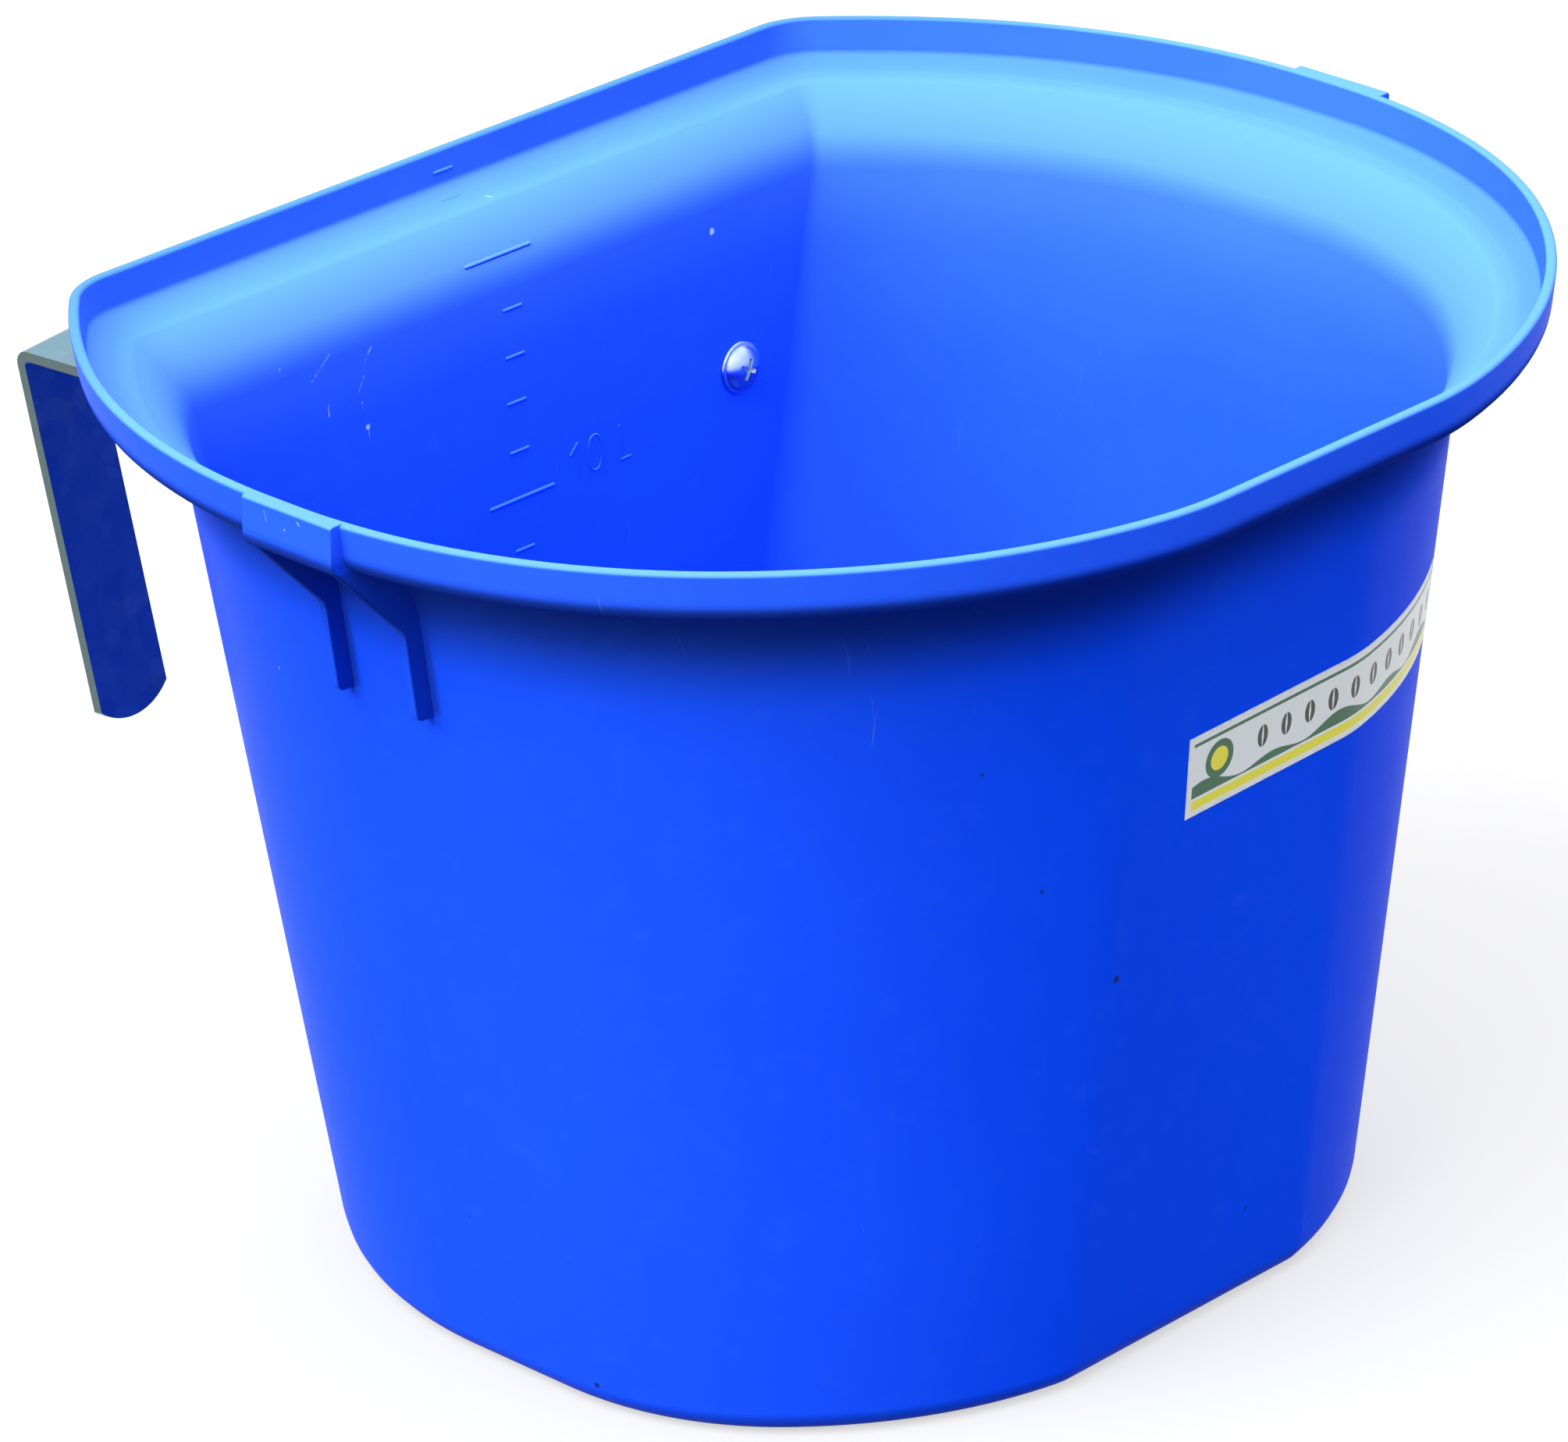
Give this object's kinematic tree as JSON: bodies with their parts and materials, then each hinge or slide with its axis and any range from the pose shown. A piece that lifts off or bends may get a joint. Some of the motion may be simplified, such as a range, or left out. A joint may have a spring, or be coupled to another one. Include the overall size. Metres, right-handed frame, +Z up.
{
  "type": "hanging feed trough",
  "caption": "Deep moulded plastic feed trough with a flat back, upright rim lip, ribbed side ears and bent flat-bar hooks that hang it on a rail.",
  "frame": {"origin": "middle of the trough's underside, halfway between the back and the front of the base", "axes": "+X to the right of someone facing the front, -Y towards the front, +Y towards the wall or rail that the hooks hang on, +Z up"},
  "size_m": [0.4114, 0.3737, 0.2659],
  "materials": {
    "trough_body": "satin moulded polypropylene, bright blue",
    "left_hook": "galvanised flat bar, dull grey-green",
    "right_hook": "galvanised flat bar, dull grey-green",
    "left_screw": "bright zinc plate",
    "right_screw": "bright zinc plate",
    "left_nut": "bright zinc plate",
    "right_nut": "bright zinc plate"
  },
  "bodies": {
    "trough": {"trough_body": "trough_body", "left_screw": "left_screw", "right_screw": "right_screw", "left_nut": "left_nut", "right_nut": "right_nut"},
    "left_hook": {"left_hook": "left_hook"},
    "right_hook": {"right_hook": "right_hook"}
  },
  "joints": [
    {"name": "left_hook_swing", "type": "hinge", "parent": "trough", "child": "left_hook", "pos_m": [-0.0871, 0.12751, 0.182], "axis": [0, 0.9983, -0.0589], "continuous": true},
    {"name": "right_hook_swing", "type": "hinge", "parent": "trough", "child": "right_hook", "pos_m": [0.0871, 0.12751, 0.182], "axis": [0, 0.9983, -0.0589], "continuous": true}
  ]
}
